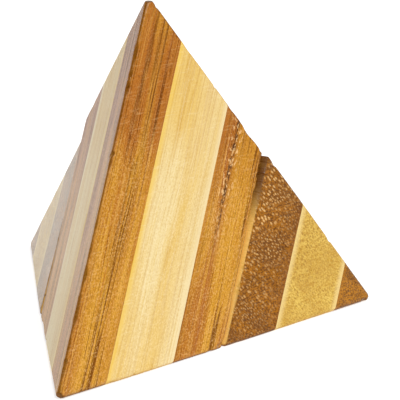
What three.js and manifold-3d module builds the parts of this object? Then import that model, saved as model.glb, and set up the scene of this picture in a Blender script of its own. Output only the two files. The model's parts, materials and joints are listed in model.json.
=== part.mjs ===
// Two-piece pyramid puzzle in laminated bamboo: a regular tetrahedron cut through its middle
// into two matching wedges, which lie loose on each other face to face.
// Units are millimetres, +Z is up, and the origin is the middle of the tetrahedron's base.
import * as THREE from 'three';
import { ConvexGeometry } from 'three/addons/geometries/ConvexGeometry.js';
import { mergeVertices } from 'three/addons/utils/BufferGeometryUtils.js';
import Module from 'manifold-3d';

// The board that both wedges are cut from: three plies of bamboo, listed from the ridge of a
// wedge to its mating face. The board's thickness sets the size of the whole tetrahedron.
const RIDGE_PLY = 5.7;
const CORE_PLY = 7.9;
const MATING_PLY = 6.4;
const BOARD = RIDGE_PLY + CORE_PLY + MATING_PLY;

// The mating ply is wider than one bamboo strip, so a narrow strip is glued along its edge.
const STRIP_JOINT = 11.0; // from the middle of the mating face to the joint
const GLUE_LINE = 0.1; // between glued strips
const SEAM_GAP = 0.1; // between the two loose mating faces

// Sanded edges.
const TIP_EASE = 0.55; // radius of the tips, where a ridge meets its end cut
const TIP_LENGTH = 2; // from an end cut to where the ridge is sharp again
const RIDGE_EASE = 0.25; // radius along the ridges
const MATING_EASE = 0.25; // radius around the mating faces
const EASE_STEPS = 4; // facets across each eased corner

// How the front wedge sits on the rear one, and the error of its upper end cut.
const FRONT_TURN = THREE.MathUtils.degToRad(-1.2); // about the axis from ridge to ridge
const FRONT_RISE = 0.2; // along its own ridge, towards the apex
const FRONT_SIDESTEP = -0.2; // along X
const END_CUT_SKEW = THREE.MathUtils.degToRad(-4.4);
const END_CUT_EXCESS = 0.4;

const SQRT2 = Math.SQRT2;
const INRADIUS = BOARD / Math.sqrt(3); // from the tetrahedron's centre to each face
const REACH = 4 * BOARD; // a slab this wide passes right through a wedge

const dark = { name: 'carbonised_bamboo', color: 0xb07433, roughness: 0.5, metalness: 0 };
const light = { name: 'natural_bamboo', color: 0xecd08a, roughness: 0.48, metalness: 0 };

const wasm = await Module();
wasm.setup();

function toManifold(geometry) {
  const bare = geometry.clone();
  bare.deleteAttribute('normal');
  bare.deleteAttribute('uv');
  const merged = mergeVertices(bare, 1e-5);
  const index = merged.index ?? [...Array(merged.attributes.position.count).keys()];
  return new wasm.Manifold(new wasm.Mesh({
    numProp: 3,
    vertProperties: new Float32Array(merged.attributes.position.array),
    triVerts: new Uint32Array(index.array ?? index),
  }));
}

function toGeometry(manifold) {
  const mesh = manifold.getMesh();
  const geometry = new THREE.BufferGeometry();
  geometry.setAttribute('position', new THREE.BufferAttribute(mesh.vertProperties, 3));
  geometry.setIndex(new THREE.BufferAttribute(mesh.triVerts, 1));
  return geometry;
}

// A wedge's own frame: the mating face looks down -Z with its middle near the origin, and the
// ridge runs along X at a height of one board. All planes face outwards.
function wedgePlanes() {
  const plane = (x, y, z) => new THREE.Plane(new THREE.Vector3(x, y, z).normalize(), -INRADIUS);
  return {
    left: plane(0, SQRT2, 1),
    right: plane(0, -SQRT2, 1),
    upperEnd: plane(SQRT2, 0, -1),
    lowerEnd: plane(-SQRT2, 0, -1),
    mating: new THREE.Plane(new THREE.Vector3(0, 0, -1), SEAM_GAP / 2),
  };
}

// The point that lies a given depth below all three planes.
function innerCorner(planes, depth) {
  const [a, b, c] = planes.map((plane) => plane.normal);
  const rows = new THREE.Matrix3().set(...a.toArray(), ...b.toArray(), ...c.toArray());
  const depths = planes.map((plane) => -plane.constant - depth);
  return new THREE.Vector3(...depths).applyMatrix3(rows.invert());
}

// A ball tangent to three planes, kept only between its three points of contact.
function easedCorner(planes, radius) {
  const centre = innerCorner(planes, radius);
  const [a, b, c] = planes.map((plane) => plane.normal);
  const points = [];
  for (let i = 0; i <= EASE_STEPS; i += 1) {
    for (let j = 0; j <= EASE_STEPS - i; j += 1) {
      const direction = new THREE.Vector3()
        .addScaledVector(a, i)
        .addScaledVector(b, j)
        .addScaledVector(c, EASE_STEPS - i - j);
      points.push(direction.setLength(radius).add(centre));
    }
  }
  return points;
}

// One whole wedge with all its edges eased.
function wedgeBody({ left, right, upperEnd, lowerEnd, mating }) {
  const points = [];
  for (const end of [upperEnd, lowerEnd]) {
    const inboard = end.clone();
    inboard.constant += TIP_LENGTH;
    points.push(...easedCorner([left, right, end], TIP_EASE));
    points.push(...easedCorner([left, right, inboard], RIDGE_EASE));
    points.push(...easedCorner([left, mating, end], MATING_EASE));
    points.push(...easedCorner([right, mating, end], MATING_EASE));
  }
  return toManifold(new ConvexGeometry(points));
}

// The part of space between two heights, and on one side of the wedge's middle plane.
function slab(low, high, yLow = -REACH / 2, yHigh = REACH / 2) {
  const box = new THREE.BoxGeometry(REACH, yHigh - yLow, high - low);
  box.translate(0, (yHigh + yLow) / 2, (high + low) / 2);
  return toManifold(box);
}

// Cuts one wedge into its glued strips and returns them as a group in the wedge's own frame.
function laminatedWedge(name, planes) {
  const body = wedgeBody(planes);
  const half = GLUE_LINE / 2;
  const coreTop = MATING_PLY + CORE_PLY;
  const strips = [
    ['ridge_strip', dark, slab(coreTop + half, BOARD + 1)],
    ['core_strip', light, slab(MATING_PLY + half, coreTop - half)],
    ['mating_strip_wide', dark, slab(-1, MATING_PLY - half, -STRIP_JOINT + half)],
    ['mating_strip_narrow', dark, slab(-1, MATING_PLY - half, -REACH / 2, -STRIP_JOINT - half)],
  ];
  const group = new THREE.Group();
  for (const [part, finish, region] of strips) {
    const geometry = toGeometry(body.intersect(region));
    const mesh = new THREE.Mesh(geometry, new THREE.MeshStandardMaterial(finish));
    mesh.name = `${name}_${part}`;
    group.add(mesh);
  }
  return group;
}

// Directions in the assembled tetrahedron: along the front ridge, along the rear ridge, and
// from the front ridge straight through the middle to the rear ridge.
const alongFront = new THREE.Vector3(0, 1, SQRT2).normalize();
const alongRear = new THREE.Vector3(-1, 0, 0);
const frontToRear = new THREE.Vector3(0, SQRT2, -1).normalize();
const middle = new THREE.Vector3(0, 0, INRADIUS);

// The placement that lays a wedge's X along its ridge and its Z from the middle to that ridge.
function placement(ridge, outward) {
  const across = new THREE.Vector3().crossVectors(outward, ridge);
  return new THREE.Matrix4().makeBasis(ridge, across, outward).setPosition(middle);
}

function rearHalf() {
  const group = laminatedWedge('rear', wedgePlanes());
  group.applyMatrix4(placement(alongRear, frontToRear));
  return group;
}

// The front wedge's upper end is cut slightly askew and its lower end is flush with the base.
function frontHalf() {
  const place = placement(alongFront, frontToRear.clone().negate());
  place.premultiply(new THREE.Matrix4().makeTranslation(middle.clone().negate()));
  place.premultiply(new THREE.Matrix4().makeRotationAxis(frontToRear, FRONT_TURN));
  const shift = alongFront.clone().multiplyScalar(FRONT_RISE).setX(FRONT_SIDESTEP);
  place.premultiply(new THREE.Matrix4().makeTranslation(middle.clone().add(shift)));

  const planes = wedgePlanes();
  planes.upperEnd.normal.applyAxisAngle(new THREE.Vector3(0, 0, 1), END_CUT_SKEW);
  planes.upperEnd.constant -= END_CUT_EXCESS;
  const base = new THREE.Plane(new THREE.Vector3(0, 0, -1), 0);
  planes.lowerEnd = base.applyMatrix4(place.clone().invert());

  const group = laminatedWedge('front', planes);
  group.applyMatrix4(place);
  return group;
}

const puzzle = new THREE.Group();
puzzle.name = 'pyramid_puzzle';
puzzle.add(rearHalf(), frontHalf());

export default puzzle;
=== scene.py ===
"""Looks of the two-piece bamboo pyramid puzzle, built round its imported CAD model."""

import itertools
import json
import math

import bmesh
import bpy
import numpy as np
from mathutils import Matrix, Vector, noise


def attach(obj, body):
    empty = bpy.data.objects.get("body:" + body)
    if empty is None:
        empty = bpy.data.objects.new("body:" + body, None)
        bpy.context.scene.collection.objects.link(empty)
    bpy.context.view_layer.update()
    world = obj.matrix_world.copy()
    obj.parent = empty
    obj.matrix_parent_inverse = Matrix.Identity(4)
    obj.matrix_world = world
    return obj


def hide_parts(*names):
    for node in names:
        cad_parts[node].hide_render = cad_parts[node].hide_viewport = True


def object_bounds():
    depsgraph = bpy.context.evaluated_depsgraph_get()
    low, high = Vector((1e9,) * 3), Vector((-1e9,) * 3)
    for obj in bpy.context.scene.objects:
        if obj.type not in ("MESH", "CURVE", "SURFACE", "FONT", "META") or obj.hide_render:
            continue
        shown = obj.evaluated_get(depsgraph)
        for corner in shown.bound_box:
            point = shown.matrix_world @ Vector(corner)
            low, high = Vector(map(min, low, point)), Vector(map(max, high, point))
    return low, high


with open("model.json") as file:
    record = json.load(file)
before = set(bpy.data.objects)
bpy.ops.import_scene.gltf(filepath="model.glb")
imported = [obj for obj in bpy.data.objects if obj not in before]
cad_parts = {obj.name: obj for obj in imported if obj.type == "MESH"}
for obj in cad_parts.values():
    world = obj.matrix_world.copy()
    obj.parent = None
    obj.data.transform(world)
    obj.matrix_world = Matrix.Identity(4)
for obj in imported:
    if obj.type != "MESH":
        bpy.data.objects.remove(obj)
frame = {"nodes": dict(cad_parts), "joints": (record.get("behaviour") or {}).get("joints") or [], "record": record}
cad_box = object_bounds()

MM = 0.001
HALVES = ("rear", "front")

# Camera, as an orbit about a point near the middle of the object. Lens and sensor are in
# millimetres.
VIEW_AZIMUTH = 21.97
VIEW_ELEVATION = 20.0
VIEW_ROLL = 0.4
VIEW_DISTANCE = 257.7 * MM
VIEW_LENS = 171.0
VIEW_SENSOR = 36.0
VIEW_CLIP = (0.01, 10.0)
AIM_FROM_BOX_MIDDLE = Vector((9.2, 2.5, -2.9)) * MM

# Fineness of the visible surface.
VOXEL = 0.2 * MM
SMOOTHING = ("SMOOTH", {"factor": 0.5, "iterations": 2})

# A wedge has five flat faces, each larger than this. The cosines tell when two directions are the
# same, when a face of a strip is one of its glued cuts, and when the direction between two faces
# is straight out of the mating face, as it is between the two end cuts only.
BIG_FACE = 40 * MM * MM
SAME_DIRECTION = 0.999
GLUED_CUT = 0.9
BETWEEN_END_CUTS = 0.95

# Hand sanding and handling, in millimetres: the width of the flat that is rubbed on an edge,
# how much an uneven rub and a nick widen it, how long they are, and the widest flat there is.
EDGE_FLAT = 0.24
EDGE_RUB = 0.5
EDGE_NICK = 1.2
RUB_LENGTH = 2.6
NICK_LENGTH = 1.1
WIDEST_FLAT = 2.0

# How far down a tip is worn and how far that reaches, and the depth and length of slow waves.
TIP_WEAR = {"rear": 0.15, "front": 0.32}
TIP_REACH = 1.5
FACE_WAVE = 0.05
WAVE_LENGTH = 11.0

# Values of the noise, from -1 to 1, at which rubbing and nicks begin, and how far a surface is
# turned off every flat face (one less the cosine) where it is all edge.
RUB_START = -0.2
NICK_START = 0.32
EDGE_TURN = 0.25


def toward(azimuth, elevation):
    """Direction from the object to a viewer or lamp; azimuth 0 is in front, 90 is on the right."""
    turn, rise = math.radians(azimuth), math.radians(elevation)
    return Vector((math.sin(turn) * math.cos(rise), -math.cos(turn) * math.cos(rise), math.sin(rise)))


def make_camera():
    back = toward(VIEW_AZIMUTH, VIEW_ELEVATION)
    data = bpy.data.cameras.new("camera")
    data.lens = VIEW_LENS
    data.sensor_width = VIEW_SENSOR
    data.clip_start, data.clip_end = VIEW_CLIP
    camera = bpy.data.objects.new("camera", data)
    camera.location = (cad_box[0] + cad_box[1]) / 2 + AIM_FROM_BOX_MIDDLE + back * VIEW_DISTANCE
    aim = (-back).to_track_quat("-Z", "Y").to_matrix()
    camera.rotation_euler = (aim @ Matrix.Rotation(math.radians(VIEW_ROLL), 3, "Z")).to_euler()
    bpy.context.scene.collection.objects.link(camera)
    bpy.context.scene.camera = camera


make_camera()


# ---------------------------------------------------------------- shape

class HalfFrame:
    """A wedge's own directions: x along its ridge, z from its mating face to its ridge."""

    def __init__(self, half):
        joint = frame["joints"][0]
        self.origin = Vector(joint["pos_m"])
        through = Vector(joint["axis"]).normalized()
        self.z = through if half == "rear" else -through
        # The largest side of the ridge strip shows how the ridge runs: from right to left on the
        # rear wedge, and up on the front one.
        strip = frame["nodes"][f"{half}_ridge_strip"].data
        sides = [p for p in strip.polygons if abs(p.normal.dot(self.z)) < GLUED_CUT]
        side = max(sides, key=lambda polygon: polygon.area)
        along = side.normal.cross(self.z).normalized()
        lead = Vector((-1, 0, 0)) if half == "rear" else Vector((0, 0, 1))
        self.x = along if along.dot(lead) > 0 else -along
        self.y = self.z.cross(self.x)

    def span(self, node, direction):
        """The least and the greatest reach of a CAD node along a direction, from the origin."""
        reach = [(v.co - self.origin).dot(direction) for v in frame["nodes"][node].data.vertices]
        return min(reach), max(reach)

    def boundary(self, lower, upper, direction):
        """Halfway between two neighbouring strips, measured from the origin."""
        return (self.span(lower, direction)[1] + self.span(upper, direction)[0]) / 2

    def to_local(self):
        """The change from the shared frame to the wedge's own."""
        rows = Matrix((self.x, self.y, self.z)).to_4x4()
        return rows @ Matrix.Translation(-self.origin)


def hull_of(nodes):
    """The convex body that the glued strips of a wedge make together."""
    hull = bmesh.new()
    for node in nodes:
        for vertex in frame["nodes"][node].data.vertices:
            hull.verts.new(vertex.co)
    made = bmesh.ops.convex_hull(hull, input=hull.verts)
    spare = [e for e in made["geom_interior"] + made["geom_unused"] if isinstance(e, bmesh.types.BMVert)]
    bmesh.ops.delete(hull, geom=list(set(spare)), context="VERTS")
    bmesh.ops.recalc_face_normals(hull, faces=hull.faces)
    mesh = bpy.data.meshes.new("hull")
    hull.to_mesh(mesh)
    hull.free()
    return mesh


def remake(mesh, *modifiers):
    """The mesh after a list of modifiers, each a kind with its settings."""
    holder = bpy.data.objects.new("holder", mesh)
    bpy.context.scene.collection.objects.link(holder)
    for kind, settings in modifiers:
        modifier = holder.modifiers.new(kind.lower(), kind)
        for name, value in settings.items():
            setattr(modifier, name, value)
    made = bpy.data.meshes.new_from_object(holder.evaluated_get(bpy.context.evaluated_depsgraph_get()))
    bpy.data.objects.remove(holder)
    return made


def flat_normals(hull):
    """Directions of the five flat faces of a wedge."""
    flats = []
    for polygon in hull.polygons:
        seen = any(polygon.normal.dot(flat) > SAME_DIRECTION for flat in flats)
        if polygon.area > BIG_FACE and not seen:
            flats.append(polygon.normal.copy())
    return flats


def read(mesh, name):
    """Vertex places or normals as rows of numbers."""
    values = np.empty(len(mesh.vertices) * 3)
    mesh.vertices.foreach_get(name, values)
    return values.reshape(-1, 3)


def sanded(points, direction, top, depth, reach):
    """Pushes what stands past a plane back onto it; depth(point) says how far it lies below the top."""
    heights = points @ direction
    near = np.nonzero(heights > top - reach)[0]
    depths = np.array([depth(Vector(points[index])) for index in near])
    proud = np.maximum(heights[near] - (top - depths), 0)
    points[near] -= proud[:, None] * direction


def edge_flat(place):
    """Width of the flat rubbed on an edge: uneven, with a few nicks."""
    rub = max(0.0, noise.noise(place / RUB_LENGTH) - RUB_START)
    nick = max(0.0, noise.noise(place / NICK_LENGTH) - NICK_START)
    return EDGE_FLAT + EDGE_RUB * rub + EDGE_NICK * nick


def sand_edge(points, first, second):
    """Rubs a flat on the edge between two sides, if they share one."""
    both = first + second
    between = both / np.linalg.norm(both)
    sharp_top = ((points @ first).max() + (points @ second).max()) / np.linalg.norm(both)
    turn = math.acos(first @ second)
    steepness = math.tan(turn / 2) / 2
    reach = WIDEST_FLAT * steepness
    sanded(points, between, sharp_top, lambda place: steepness * edge_flat(place), reach)


def wear(mesh, flats, local, tip_wear):
    """Sands down the edges and tips, and leaves slow waves on the faces."""
    points = read(mesh, "co") / MM
    normals = read(mesh, "normal")
    # The noise runs from -1 to 1, and the faces only ever move inward.
    slow = np.array([noise.noise(Vector(point) / WAVE_LENGTH) for point in points])
    points -= normals * (FACE_WAVE * (0.5 + 0.5 * slow))[:, None]
    for first, second in itertools.combinations([np.array(flat) for flat in flats], 2):
        # The two end cuts face the mating face between them, and share no edge.
        if -local.z.dot(Vector(first + second).normalized()) < BETWEEN_END_CUTS:
            sand_edge(points, first, second)
    for end in (1, -1):
        # From the middle of the puzzle toward a corner of the tetrahedron.
        tip = np.array((local.x * end * math.sqrt(2) + local.z).normalized())
        sanded(points, tip, (points @ tip).max(), lambda place: tip_wear, TIP_REACH)
    mesh.vertices.foreach_set("co", (points * MM).ravel())
    mesh.update()


def mark_edges(mesh, flats):
    """Stores how far each point is turned away from every flat face, for the material to read."""
    flatness = (read(mesh, "normal") @ np.array(flats).T).max(axis=1)
    edge = np.clip((1 - flatness) / EDGE_TURN, 0, 1)
    mesh.attributes.new("edge", "FLOAT", "POINT").data.foreach_set("value", edge)


def cut_out(mesh, name, keeps):
    """The part of a wedge on the inner side of each plane, closed with flat faces."""
    part = bmesh.new()
    part.from_mesh(mesh)
    for point, outward in keeps:
        everything = part.verts[:] + part.edges[:] + part.faces[:]
        cut = bmesh.ops.bisect_plane(part, geom=everything, plane_co=point, plane_no=outward,
                                     clear_outer=True)
        rim = [e for e in cut["geom_cut"] if isinstance(e, bmesh.types.BMEdge)]
        bmesh.ops.holes_fill(part, edges=rim, sides=0)
        for edge in rim:
            edge.smooth = False
    made = bpy.data.meshes.new(name)
    part.to_mesh(made)
    part.free()
    return made


# ---------------------------------------------------------------- bamboo

def srgb(red, green, blue):
    """A colour given as it looks on screen, for a shader."""
    def linear(value):
        value /= 255
        return value / 12.92 if value <= 0.04045 else ((value + 0.055) / 1.055) ** 2.4
    return (linear(red), linear(green), linear(blue), 1.0)


# Colours along the grain (long) and across it (end), with their fibres, margins and bundles. A
# share says how fully a feature covers what is under it. The reach of the bundles is the distance
# from the mating face, in millimetres, over which they fade on a cut end.
CARBONISED = {
    "slot": "carbonised_bamboo",
    "long": srgb(205, 144, 22),
    "long_deep": srgb(172, 99, 0),
    "long_line": srgb(92, 38, 0),
    "long_pale": srgb(228, 172, 78),
    "long_inner": srgb(170, 102, 14),
    "long_outer": srgb(176, 108, 18),
    "end": srgb(168, 104, 6),
    "end_deep": srgb(78, 38, 0),
    "end_bundle": srgb(232, 184, 116),
    "end_margin": srgb(128, 72, 10),
    "scratch": srgb(238, 192, 130),
    # The pale colour of the mating face is partly fresh-cut wood and partly painted light.
    "mated": srgb(250, 196, 98),
    # The glue colour also serves as painted shade at the top of the seam.
    "glue_and_shade": srgb(66, 32, 6),
    "line_share": 0.30,
    "streak_share": 0.8,
    "fibre_share": 0.75,
    "bundle_share": 0.9,
    "bundle_reach": 8.5,
    "margin_share": 0.35,
    "fleck_share": 0.42,
}
NATURAL = {
    "slot": "natural_bamboo",
    "long": srgb(231, 208, 150),
    "long_deep": srgb(224, 188, 104),
    "long_line": srgb(190, 136, 40),
    "long_pale": srgb(240, 222, 176),
    "long_inner": srgb(234, 214, 166),
    "long_outer": srgb(232, 192, 82),
    "end": srgb(224, 189, 92),
    "end_deep": srgb(180, 130, 36),
    "end_bundle": srgb(140, 92, 14),
    "end_margin": srgb(232, 204, 136),
    "scratch": srgb(246, 230, 190),
    "line_share": 0.28,
    "streak_share": 0.32,
    "fibre_share": 0.55,
    "bundle_share": 0.6,
    "bundle_reach": 60.0,
    "margin_share": 0.8,
    "fleck_share": 0.3,
}
# The cut ends of the ridge strips are a little lighter and plainer than the other dark ends.
RIDGE_END = {"end": srgb(186, 120, 16), "end_margin": srgb(176, 114, 24), "bundle_share": 0.5}

# Noises in the wood: waves per millimetre along the strip and across it, detail and roughness.
NOISES = {
    "tone": (0.03, 0.25, 2.0, 0.5),
    "fibre": (0.05, 5.0, 4.0, 0.6),
    "fleck": (3.5, 6.0, 2.0, 0.7),
    "contour": (0.015, 0.7, 1.0, 0.5),
    "unbroken": (0.1, 0.8, 2.0, 0.5),
    "streak": (0.045, 5.0, 2.0, 0.5),
    "group": (0.03, 0.35, 1.0, 0.5),
    "close": (0.05, 0.25, 2.0, 0.5),
    "clear": (0.05, 0.2, 2.0, 0.5),
    "grit": (2.0, 4.5, 3.0, 0.65),
    "glue_and_shade": (1.2, 4.0, 3.0, 0.65),
    "chip": (1.5, 3.0, 2.0, 0.6),
}

# Masks: the noise that each is made from, and the values of it where the mask starts to show and
# where it shows in full.
MASKS = {
    "deep_long": ("tone", 0.38, 0.66),
    "deep_end": ("tone", 0.35, 0.65),
    "pale_fibre": ("fibre", 0.50, 0.68),
    "deep_fibre": ("fibre", 0.48, 0.34),
    "pale_fleck": ("fleck", 0.52, 0.66),
    "dark_fleck": ("fleck", 0.48, 0.34),
    "unbroken": ("unbroken", 0.42, 0.56),
    "streak": ("streak", 0.52, 0.62),
    "close": ("close", 0.42, 0.58),
    "clear": ("clear", 0.36, 0.58),
    "grit": ("grit", 0.44, 0.60),
    "glue_and_shade": ("glue_and_shade", 0.44, 0.56),
    "chip": ("chip", 0.56, 0.63),
}

# Where fades start and end, in millimetres along a strip or across it from the middle of the
# mating face: the upper end of a strip, the clear side, the side toward which painted shade
# darkens the mating face, and the end with glue and painted shade on it.
UPPER_END = (2.0, 16.0)
CLEAR_SIDE = (-12.0, 6.0)
PAINTED_SHADE_SIDE = (2.0, 10.0)
GLUE_AND_SHADE_END = (-6.0, 6.0)

# How squarely a surface has to face along the fibres to show a cut end, and straight out of the
# wedge to be its mating face.
END_FACING = (0.35, 0.75)
MATING_FACING = (0.5, 0.9)

# The offset between the wood of one strip and the next, and the slow sideways drift of fibres.
NEXT_WOOD = Vector((3.1, 17.7, 15.3))
DRIFT_DENSITY = (0.03, 0.1, 0.1)
DRIFT_REACH = (0.0, 1.4, 1.4)

# Vascular bundles, across the grain: the slant and the flattening of their pattern, how far they
# stray from its rows, two spacings in millimetres that take turns, and the distances from the
# middle of a bundle, in spacings, between which its dot fades out.
BUNDLE_LEAN = math.radians(-35)
BUNDLE_FLATTENING = 0.6
BUNDLE_SCATTER = 0.8
WIDE_SPACING = 0.54
CLOSE_SPACING = 0.36
BUNDLE_DOT = (0.12, 0.34)

# Sanding marks: a noise with its waves per metre, detail and roughness. For each kind of cut, the
# values of the noise where the marks start to show and show in full, and their share at both.
SCRATCH_NOISE = ((450, 450, 5000), 2.0, 0.6)
LONG_SCRATCH = (0.56, 0.72, 0.0, 0.2)
END_SCRATCH = (0.52, 0.68, 0.0, 0.5)

# Dark lines follow a contour of a noise and fade between two distances from it. Streaks come in
# groups. Toward the upper end of a strip there are more of them, a deeper tone and fewer pale
# flecks.
CONTOUR = 0.5
LINE_WIDTH = (0.006, 0.026)
GROUP = (0.48, 0.64)
MORE_GROUPS_UP = 0.17
DEEPER_UP = 0.35
FEWER_FLECKS_UP = 0.7
PALE_FIBRE_SHARE = 0.5

# Cut ends: shares of deep tone and grit, and how clear bundles are where they are at their
# faintest, by patch, by the ridge and on the dull side.
END_TONE_SHARE = 0.4
END_GRIT_SHARE = 0.75
FAINT_PATCH = 0.35
FAINT_RIDGE = 0.2
FAINT_SIDE = 0.5

# In millimetres: the tinted margin beside a glue line, and how far from the strips' joint the
# smear of glue and painted shade is full, where it ends, and where the chips end.
MARGIN = 0.9
GLUE_AND_SHADE_LINE = 0.1
GLUE_AND_SHADE_SMEAR = 0.24
CHIPPED = 1.1

# How fully these cover what is under them.
GLUE_AND_SHADE_SHARE = 0.9
CHIP_SHARE = 0.8
MATED_SHARE = 0.8
EDGE_SHARE = 0.6

# Torn fibre ends, as a sheen.
FUZZ = 1.0
FUZZ_SPREAD = 0.4
FUZZ_TINT = (1.0, 0.95, 0.86, 1.0)

# Gloss, and what cut ends, dark lines and rubbed edges take from it. Roughness, and what fibres
# and cut ends add to it.
SHINE = 0.5
DULL_END = 0.35
DULL_LINE = 0.4
DULL_EDGE = 0.35
ROUGHNESS = 0.24
FIBRE_ROUGHNESS = 0.14
END_ROUGHNESS = 0.08

# Fine relief: depth in metres, and the weights of its parts beside the fibres.
RELIEF_DEPTH = 0.05 * MM
RELIEF_STRENGTH = 0.6
BUNDLE_RELIEF = 0.5
FLECK_RELIEF = 0.5
SCRATCH_RELIEF = 0.6


class Graph:
    """Short names for the shader nodes that the bamboo is made of."""

    def __init__(self, name):
        self.material = bpy.data.materials.new(name)
        self.material.use_nodes = True
        self.tree = self.material.node_tree
        self.shader = self.tree.nodes["Principled BSDF"]

    def add(self, kind, inputs, **settings):
        """A new node, with a link or a value for each of its inputs, and its own settings."""
        node = self.tree.nodes.new(kind)
        for name, value in settings.items():
            setattr(node, name, value)
        for name, value in inputs.items():
            self.put(node.inputs[name], value)
        return node

    def put(self, socket, value):
        """Links an output to a socket, or sets a plain value on it."""
        if isinstance(value, bpy.types.NodeSocket):
            self.tree.links.new(value, socket)
        else:
            socket.default_value = value

    def set(self, name, value):
        """Gives the shader of the whole material one of its inputs."""
        self.put(self.shader.inputs[name], value)

    def math(self, operation, *values):
        return self.add("ShaderNodeMath", dict(enumerate(values)), operation=operation).outputs[0]

    def times(self, first, second):
        return self.math("MULTIPLY", first, second)

    def plus(self, start, *terms):
        """A start value and any number of terms, each a value with its weight."""
        total = start
        for value, weight in terms:
            total = self.math("MULTIPLY_ADD", value, weight, total)
        return total

    def apart(self, first, second):
        """The distance between two values."""
        return self.math("ABSOLUTE", self.math("SUBTRACT", first, second))

    def vector(self, operation, *values):
        return self.add("ShaderNodeVectorMath", dict(enumerate(values)), operation=operation).outputs[0]

    def step(self, value, low, high, start=0.0, end=1.0):
        """A smooth step from start to end as the value goes from low to high."""
        inputs = {"Value": value, "From Min": low, "From Max": high, "To Min": start, "To Max": end}
        return self.add("ShaderNodeMapRange", inputs, interpolation_type="SMOOTHSTEP").outputs["Result"]

    def noise(self, place, density, detail, roughness):
        """Noise with so many waves per unit of length along each direction."""
        inputs = {"Vector": self.vector("MULTIPLY", place, density), "Scale": 1.0}
        inputs |= {"Detail": detail, "Roughness": roughness}
        return self.add("ShaderNodeTexNoise", inputs).outputs["Fac"]

    def mix(self, share, first, second):
        """The first colour, covered by a share of the second."""
        node = self.add("ShaderNodeMix", {}, data_type="RGBA", clamp_factor=True)
        sockets = {socket.identifier: socket for socket in node.inputs}
        self.put(sockets["Factor_Float"], share)
        self.put(sockets["A_Color"], first)
        self.put(sockets["B_Color"], second)
        return node.outputs[2]


class Grain:
    """The patterns inside a strip, in the wedge's own frame and in millimetres."""

    def __init__(self, graph, local, seed):
        self.graph = graph
        self.coordinates = graph.add("ShaderNodeTexCoord", {})
        to_local = local.to_local()
        here = graph.add("ShaderNodeMapping", {
            "Vector": self.coordinates.outputs["Object"],
            "Location": to_local.translation / MM,
            "Rotation": to_local.to_euler(),
            "Scale": (1 / MM,) * 3,
        }).outputs[0]
        split = graph.add("ShaderNodeSeparateXYZ", {"Vector": here}).outputs
        self.along, self.aside, self.height = split["X"], split["Y"], split["Z"]
        self.upper = graph.step(self.along, *UPPER_END)
        self.wood = self.wandering(graph.vector("ADD", here, NEXT_WOOD * seed))
        self.noises = {}
        self.bundle = self.bundles()
        self.scratch = self.scratches()
        self.line = graph.math("MAXIMUM", self.crisp_lines(), self.grouped_streaks())
        self.endwise = graph.step(graph.math("ABSOLUTE", self.facing(local.x)), *END_FACING)
        self.mated = graph.step(self.facing(-local.z), *MATING_FACING)

    def noise(self, name):
        """One of the listed noises; it is made once and shared by its masks."""
        if name not in self.noises:
            along, across, detail, roughness = NOISES[name]
            density = (along, across, across)
            self.noises[name] = self.graph.noise(self.wood, density, detail, roughness)
        return self.noises[name]

    def mask(self, name, end=1.0, start=0.0):
        """One of the listed masks, from start outside it to end inside it."""
        noise_name, low, high = MASKS[name]
        return self.graph.step(self.noise(noise_name), low, high, start, end)

    def wandering(self, place):
        """Fibres drift sideways a little along the strip."""
        graph = self.graph
        slow = graph.vector("MULTIPLY", place, DRIFT_DENSITY)
        drift = graph.add("ShaderNodeTexNoise", {"Vector": slow, "Scale": 1.0, "Detail": 1.0})
        centred = graph.vector("SUBTRACT", drift.outputs["Color"], (0.5, 0.5, 0.5))
        return graph.vector("ADD", place, graph.vector("MULTIPLY", centred, DRIFT_REACH))

    def bundles(self):
        """Vascular bundles, seen as dots across the grain and as lines along it."""
        graph = self.graph
        turned = graph.add("ShaderNodeVectorRotate", {"Vector": self.wood, "Angle": BUNDLE_LEAN},
                           rotation_type="X_AXIS").outputs[0]
        split = graph.add("ShaderNodeSeparateXYZ", {"Vector": turned}).outputs
        flattened = graph.times(split["Z"], BUNDLE_FLATTENING)
        section = graph.add("ShaderNodeCombineXYZ", {"X": split["Y"], "Y": flattened}).outputs[0]
        far_apart = self.dots(section, WIDE_SPACING)
        close_by = self.dots(section, CLOSE_SPACING)
        close = self.mask("close")
        return graph.plus(graph.times(far_apart, graph.math("SUBTRACT", 1.0, close)), (close_by, close))

    def dots(self, section, spacing):
        """One dot in each cell of a scattered pattern."""
        inputs = {"Vector": section, "Scale": 1 / spacing, "Randomness": BUNDLE_SCATTER}
        cells = self.graph.add("ShaderNodeTexVoronoi", inputs, voronoi_dimensions="2D")
        return self.graph.step(cells.outputs["Distance"], *BUNDLE_DOT, 1.0, 0.0)

    def scratches(self):
        """Sanding marks, level on every sloping face."""
        return self.graph.noise(self.coordinates.outputs["Object"], *SCRATCH_NOISE)

    def crisp_lines(self):
        """A few thin dark lines that run on for a long way along the strip."""
        graph = self.graph
        line = graph.step(graph.apart(self.noise("contour"), CONTOUR), *LINE_WIDTH, 1.0, 0.0)
        return graph.times(line, self.mask("unbroken"))

    def grouped_streaks(self):
        """Short dark streaks in groups, most of them near the upper end of a strip."""
        graph = self.graph
        group = graph.plus(self.noise("group"), (self.upper, MORE_GROUPS_UP))
        return graph.times(self.mask("streak"), graph.step(group, *GROUP))

    def facing(self, direction):
        """How squarely the surface faces along a direction."""
        normal = self.coordinates.outputs["Normal"]
        turned = self.graph.add("ShaderNodeVectorMath", {0: normal, 1: direction}, operation="DOT_PRODUCT")
        return turned.outputs["Value"]


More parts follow.
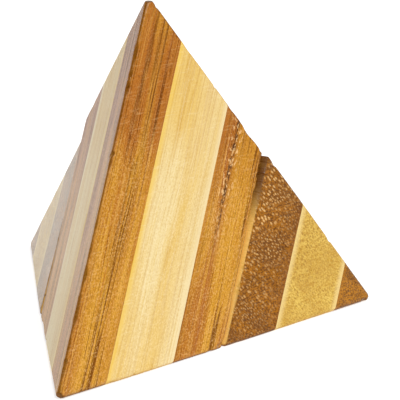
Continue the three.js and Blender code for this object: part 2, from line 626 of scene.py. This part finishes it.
def long_color(graph, grain, look):
    """Cut along the grain: fine fibres, thin bundle lines, longer dark streaks and fine grit."""
    depth = graph.plus(grain.mask("deep_long"), (grain.upper, DEEPER_UP))
    base = graph.mix(depth, look["long"], look["long_deep"])
    pale = graph.mix(grain.mask("pale_fibre", PALE_FIBRE_SHARE), base, look["long_pale"])
    fibres = graph.mix(grain.mask("deep_fibre", look["fibre_share"]), pale, look["long_deep"])
    lines = graph.mix(graph.times(grain.bundle, look["line_share"]), fibres, look["long_line"])
    streaks = graph.mix(graph.times(grain.line, look["streak_share"]), lines, look["long_line"])
    gritty = graph.mix(grain.mask("dark_fleck", look["fleck_share"]), streaks, look["long_line"])
    fewer = graph.plus(1.0, (grain.upper, -FEWER_FLECKS_UP))
    flecks = graph.times(grain.mask("pale_fleck", look["fleck_share"]), fewer)
    return graph.mix(flecks, gritty, look["scratch"])


def end_color(graph, grain, look):
    """Cut across the grain: bundles as dots in gritty ground, clearest by the mating face."""
    base = graph.mix(grain.mask("deep_end", END_TONE_SHARE), look["end"], look["end_deep"])
    gritty = graph.mix(grain.mask("grit", END_GRIT_SHARE), base, look["end_deep"])
    by_patch = grain.mask("clear", look["bundle_share"], FAINT_PATCH)
    by_height = graph.step(grain.height, 0.0, look["bundle_reach"], 1.0, FAINT_RIDGE)
    by_side = graph.step(grain.aside, *CLEAR_SIDE, FAINT_SIDE, 1.0)
    clear = graph.times(graph.times(by_height, by_side), by_patch)
    dotted = graph.mix(graph.times(grain.bundle, clear), gritty, look["end_bundle"])
    return graph.mix(graph.step(grain.scratch, *END_SCRATCH), dotted, look["end_deep"])


def with_margins(graph, grain, look, ply, along, across):
    """Colours both cuts near the glue lines of a ply; the mating face itself has no margin."""
    low, high = ply
    share = look["margin_share"]
    outer = graph.step(grain.height, high - MARGIN, high, 0.0, share)
    along = graph.mix(outer, along, look["long_outer"])
    across = graph.mix(outer, across, look["end_margin"])
    if low > MARGIN:
        inner = graph.step(grain.height, low, low + MARGIN, share, 0.0)
        along = graph.mix(inner, along, look["long_inner"])
        across = graph.mix(inner, across, look["end_margin"])
    return along, across


def glue_and_painted_shade(graph, grain, look, joint, color):
    """Dark glue that is also painted shade at the top of the seam, and pale chips, along the joint of the narrow
    strip near its upper end.
    """
    away = graph.apart(grain.aside, joint)
    near_glue_and_shade_end = graph.step(grain.along, *GLUE_AND_SHADE_END)
    near = graph.step(away, GLUE_AND_SHADE_LINE, GLUE_AND_SHADE_SMEAR, 1.0, 0.0)
    glue_and_shade_smear = graph.times(graph.times(near, grain.mask("glue_and_shade", GLUE_AND_SHADE_SHARE)), near_glue_and_shade_end)
    with_glue_and_shade = graph.mix(glue_and_shade_smear, color, look["glue_and_shade"])
    beside = graph.step(away, GLUE_AND_SHADE_SMEAR, CHIPPED, 1.0, 0.0)
    chips = graph.times(graph.times(beside, grain.mask("chip", CHIP_SHARE)), near_glue_and_shade_end)
    return graph.mix(chips, with_glue_and_shade, look["scratch"])


def solid_color(graph, grain, look, ply, joint, edge):
    """The colour of a strip, whichever way it is cut."""
    along, across = long_color(graph, grain, look), end_color(graph, grain, look)
    along, across = with_margins(graph, grain, look, ply, along, across)
    along = graph.mix(graph.step(grain.scratch, *LONG_SCRATCH), along, look["scratch"])
    if ply[0] < MARGIN:
        # The mating face is pale, partly as fresh-cut wood and partly as painted light, and painted
        # shade darkens it toward one side.
        face = graph.mix(graph.step(grain.aside, *PAINTED_SHADE_SIDE), look["mated"], look["end_deep"])
        along = graph.mix(graph.times(grain.mated, MATED_SHARE), along, face)
        # Near the upper end of the joint: dark glue that is also painted shade.
        along = glue_and_painted_shade(graph, grain, look, joint, along)
    color = graph.mix(grain.endwise, along, across)
    # Rounded edges take a share of the deep end colour: partly dark wear, partly painted shade on the eased edges
    # and in the seam beside the other wedge.
    return graph.mix(graph.times(edge, EDGE_SHARE), color, look["end_deep"])


def set_gloss(graph, grain, edge):
    """Torn fibre ends catch the light at a flat angle and are duller seen straight on."""
    graph.set("Sheen Weight", graph.times(grain.endwise, FUZZ))
    graph.set("Sheen Roughness", FUZZ_SPREAD)
    graph.set("Sheen Tint", FUZZ_TINT)
    shine = graph.plus(SHINE, (grain.endwise, -DULL_END), (grain.line, -DULL_LINE), (edge, -DULL_EDGE))
    graph.set("Specular IOR Level", shine)
    rough = graph.plus(ROUGHNESS, (grain.noise("fibre"), FIBRE_ROUGHNESS), (grain.endwise, END_ROUGHNESS))
    graph.set("Roughness", rough)


def set_relief(graph, grain):
    """Shallow fibres, bundles, flecks and sanding marks."""
    fleck = grain.noise("fleck")
    relief = graph.plus(grain.noise("fibre"), (grain.bundle, BUNDLE_RELIEF), (fleck, FLECK_RELIEF),
                        (grain.scratch, SCRATCH_RELIEF))
    inputs = {"Height": relief, "Distance": RELIEF_DEPTH, "Strength": RELIEF_STRENGTH}
    graph.set("Normal", graph.add("ShaderNodeBump", inputs).outputs["Normal"])


def bamboo(name, look, local, ply, joint, seed):
    """Solid bamboo strip; ply is the reach of its layer in z, and joint the y of the strips' joint."""
    graph = Graph(name)
    grain = Grain(graph, local, seed)
    edge = graph.add("ShaderNodeAttribute", {}, attribute_name="edge").outputs["Fac"]
    graph.set("Base Color", solid_color(graph, grain, look, ply, joint, edge))
    set_gloss(graph, grain, edge)
    set_relief(graph, grain)
    return graph.material


# ---------------------------------------------------------------- the two wedges

def make_shell(half, local):
    """The whole worn surface of a wedge, before it is cut into strips."""
    nodes = frame["record"]["behaviour"]["bodies"][f"{half}_half"]
    hull = hull_of(nodes)
    flats = flat_normals(hull)
    block = remake(hull, ("REMESH", {"mode": "VOXEL", "voxel_size": VOXEL}), SMOOTHING)
    wear(block, flats, local, TIP_WEAR[half])
    shell = remake(block, SMOOTHING)
    mark_edges(shell, flats)
    for polygon in shell.polygons:
        polygon.use_smooth = True
    return shell


def build_half(half):
    """Cuts a wedge into its strips, each between the planes of its own glue lines."""
    local = HalfFrame(half)
    shell = make_shell(half, local)
    ridge, core = f"{half}_ridge_strip", f"{half}_core_strip"
    wide, narrow = f"{half}_mating_strip_wide", f"{half}_mating_strip_narrow"
    core_top = local.origin + local.z * local.boundary(core, ridge, local.z)
    core_foot = local.origin + local.z * local.boundary(wide, core, local.z)
    joint_side = local.boundary(narrow, wide, local.y)
    joint = local.origin + local.y * joint_side
    strips = {
        ridge: [(core_top, -local.z)],
        core: [(core_top, local.z), (core_foot, -local.z)],
        wide: [(core_foot, local.z), (joint, -local.y)],
        narrow: [(core_foot, local.z), (joint, local.y)],
    }
    for order, (node, keeps) in enumerate(strips.items()):
        piece = bpy.data.objects.new(f"{node}_surface", cut_out(shell, node, keeps))
        bpy.context.scene.collection.objects.link(piece)
        look = NATURAL if node == core else CARBONISED | (RIDGE_END if node == ridge else {})
        # No two strips come from the same piece of bamboo.
        seed = 1 + order + len(strips) * HALVES.index(half)
        ply = [reach / MM for reach in local.span(node, local.z)]
        material = bamboo(node, look, local, ply, joint_side / MM, seed)
        piece.data.materials.append(material)
        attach(piece, f"{half}_half")
        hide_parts(node)


for half in HALVES:
    build_half(half)


# ---------------------------------------------------------------- studio

# A floor that glows a little, so that the ground stays as white as the photograph's. It lies a
# hair below the wood.
FLOOR_REACH = 1.5
FLOOR_DROP = 0.02 * MM
FLOOR_SHADE = 0.5
FLOOR_ROUGHNESS = 0.8
FLOOR_GLOW = 0.7

# One wide, soft lamp high on the right, and a weak white sky.
WHITE = (1, 1, 1, 1)
KEY_FROM = toward(80, 62)
KEY_STRENGTH = 2.5
KEY_SOFTNESS = math.radians(40)
SKY_STRENGTH = 0.35


def make_floor():
    corners = [(-FLOOR_REACH, -FLOOR_REACH), (FLOOR_REACH, -FLOOR_REACH)]
    corners += [(FLOOR_REACH, FLOOR_REACH), (-FLOOR_REACH, FLOOR_REACH)]
    mesh = bpy.data.meshes.new("floor")
    mesh.from_pydata([(x, y, 0) for x, y in corners], [], [range(4)])
    floor = bpy.data.objects.new("floor", mesh)
    floor.location.z = -FLOOR_DROP
    bpy.context.scene.collection.objects.link(floor)
    material = bpy.data.materials.new("floor")
    material.use_nodes = True
    shader = material.node_tree.nodes["Principled BSDF"]
    shader.inputs["Base Color"].default_value = (FLOOR_SHADE, FLOOR_SHADE, FLOOR_SHADE, 1)
    shader.inputs["Roughness"].default_value = FLOOR_ROUGHNESS
    shader.inputs["Emission Color"].default_value = WHITE
    shader.inputs["Emission Strength"].default_value = FLOOR_GLOW
    mesh.materials.append(material)


def make_lights():
    world = bpy.data.worlds.new("studio")
    world.use_nodes = True
    background = world.node_tree.nodes["Background"]
    background.inputs["Color"].default_value = WHITE
    background.inputs["Strength"].default_value = SKY_STRENGTH
    bpy.context.scene.world = world
    bpy.context.scene.view_settings.view_transform = "Standard"
    data = bpy.data.lights.new("key", "SUN")
    data.energy = KEY_STRENGTH
    data.angle = KEY_SOFTNESS
    key = bpy.data.objects.new("key", data)
    key.rotation_euler = (-KEY_FROM).to_track_quat("-Z", "Y").to_euler()
    bpy.context.scene.collection.objects.link(key)


make_floor()
make_lights()
